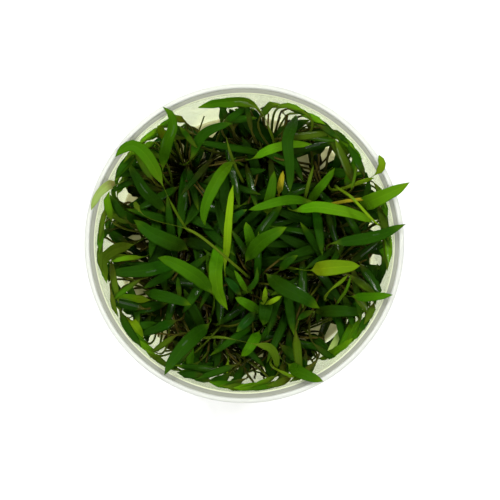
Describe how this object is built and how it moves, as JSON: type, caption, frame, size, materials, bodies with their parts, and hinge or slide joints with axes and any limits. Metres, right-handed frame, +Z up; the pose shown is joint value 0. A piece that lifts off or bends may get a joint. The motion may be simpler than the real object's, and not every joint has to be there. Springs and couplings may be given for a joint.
{
  "type": "cryptocoryne lucens plant cup",
  "caption": "Young cryptocoryne lucens plants rooted in nutrient gel in an open clear growing cup.",
  "frame": {"origin": "centre of the cup's flat base", "axes": "+Z up out of the cup, +Y to the top of the picture seen from above, +X to its right"},
  "size_m": [0.0975, 0.096, 0.0609],
  "materials": {
    "fresh_green_leaf": "moist leaf, soft sheen",
    "lime_leaf": "moist leaf, soft sheen",
    "green_leaf": "moist leaf, soft sheen",
    "dark_leaf": "moist leaf, soft sheen",
    "olive_leaf": "moist leaf, soft sheen",
    "plant_crown": "moist plant stem with low leaves",
    "clear_plastic": "clear, smooth moulded plastic",
    "nutrient_gel": "moist translucent gel"
  },
  "bodies": {
    "root": {"bright_leaf_1": "fresh_green_leaf", "bright_leaf_10": "fresh_green_leaf", "bright_leaf_11": "fresh_green_leaf", "bright_leaf_12": "fresh_green_leaf", "bright_leaf_13": "fresh_green_leaf", "bright_leaf_14": "fresh_green_leaf", "bright_leaf_15": "fresh_green_leaf", "bright_leaf_16": "fresh_green_leaf", "bright_leaf_17": "fresh_green_leaf", "bright_leaf_18": "fresh_green_leaf", "bright_leaf_19": "fresh_green_leaf", "bright_leaf_2": "fresh_green_leaf", "bright_leaf_20": "fresh_green_leaf", "bright_leaf_3": "fresh_green_leaf", "bright_leaf_4": "fresh_green_leaf", "bright_leaf_5": "fresh_green_leaf", "bright_leaf_6": "fresh_green_leaf", "bright_leaf_7": "fresh_green_leaf", "bright_leaf_8": "fresh_green_leaf", "bright_leaf_9": "fresh_green_leaf", "crown_1": "plant_crown", "crown_2": "plant_crown", "crown_3": "plant_crown", "crown_4": "plant_crown", "crown_5": "plant_crown", "crown_6": "plant_crown", "crown_7": "plant_crown", "crown_8": "plant_crown", "crown_9": "plant_crown", "cup": "clear_plastic", "dark_leaf_1": "dark_leaf", "dark_leaf_2": "dark_leaf", "dark_leaf_3": "dark_leaf", "dark_leaf_4": "dark_leaf", "dark_leaf_5": "dark_leaf", "dark_leaf_6": "dark_leaf", "dark_leaf_7": "dark_leaf", "gel": "nutrient_gel", "lime_leaf_1": "lime_leaf", "lime_leaf_2": "lime_leaf", "lime_leaf_3": "lime_leaf", "lime_leaf_4": "lime_leaf", "lime_leaf_5": "lime_leaf", "lime_leaf_6": "lime_leaf", "lime_leaf_7": "lime_leaf", "mid_leaf_1": "green_leaf", "mid_leaf_10": "green_leaf", "mid_leaf_11": "green_leaf", "mid_leaf_12": "green_leaf", "mid_leaf_13": "green_leaf", "mid_leaf_2": "green_leaf", "mid_leaf_3": "green_leaf", "mid_leaf_4": "green_leaf", "mid_leaf_5": "green_leaf", "mid_leaf_6": "green_leaf", "mid_leaf_7": "green_leaf", "mid_leaf_8": "green_leaf", "mid_leaf_9": "green_leaf", "olive_leaf_1": "olive_leaf", "olive_leaf_2": "olive_leaf"}
  },
  "joints": []
}
